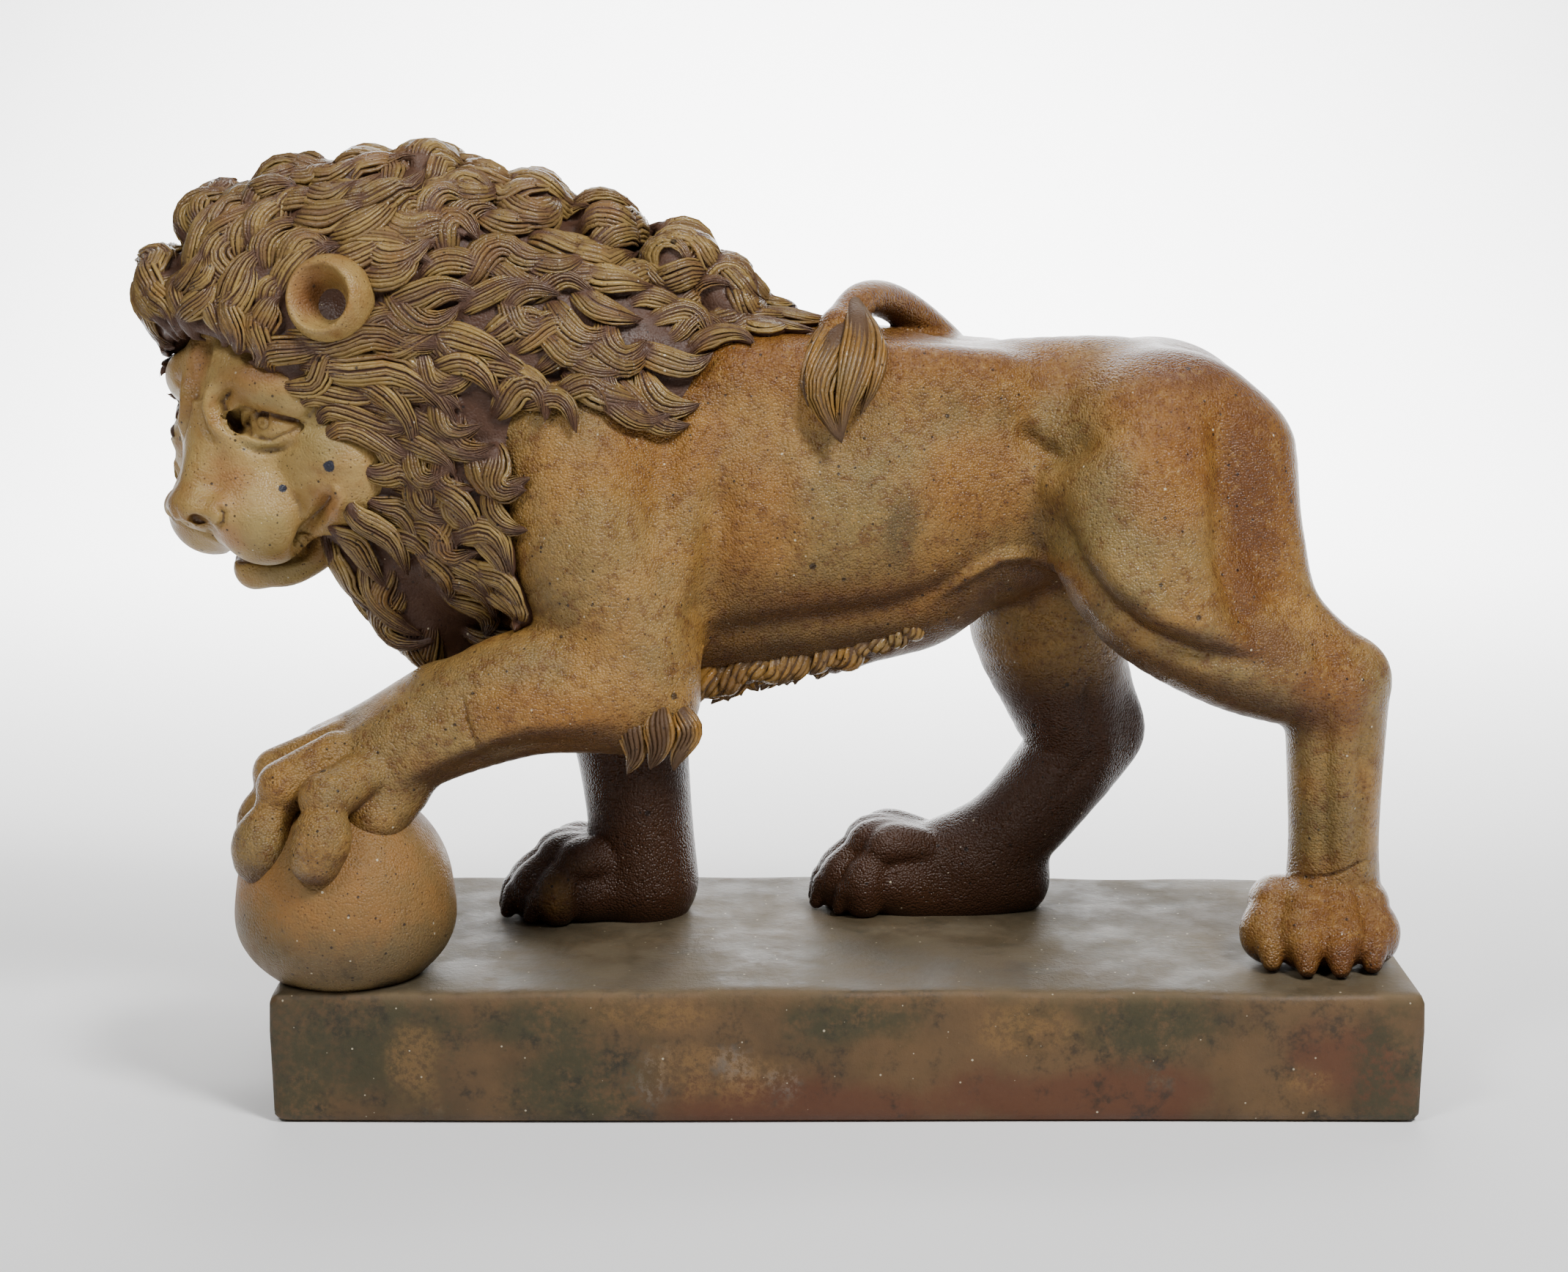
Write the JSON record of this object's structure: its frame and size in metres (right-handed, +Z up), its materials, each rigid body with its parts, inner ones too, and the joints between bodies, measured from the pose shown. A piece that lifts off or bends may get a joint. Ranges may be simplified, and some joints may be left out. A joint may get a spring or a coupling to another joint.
{
  "type": "stoneware lion statue",
  "caption": "Walking stoneware lion with a waved mane, one forepaw raised on a ball, fired as one piece with its rectangular plinth.",
  "frame": {"origin": "centre of the plinth's underside", "axes": "+Z up, -X the way the lion walks, -Y its left side, with the raised forepaw"},
  "size_m": [1.2464, 0.4579, 0.9241],
  "materials": {
    "stoneware": "salt-glazed honey and tan brown with iron speckles, gloss on the figure, duller on the plinth"
  },
  "bodies": {
    "root": {"stoneware_lion": "stoneware"}
  },
  "joints": []
}
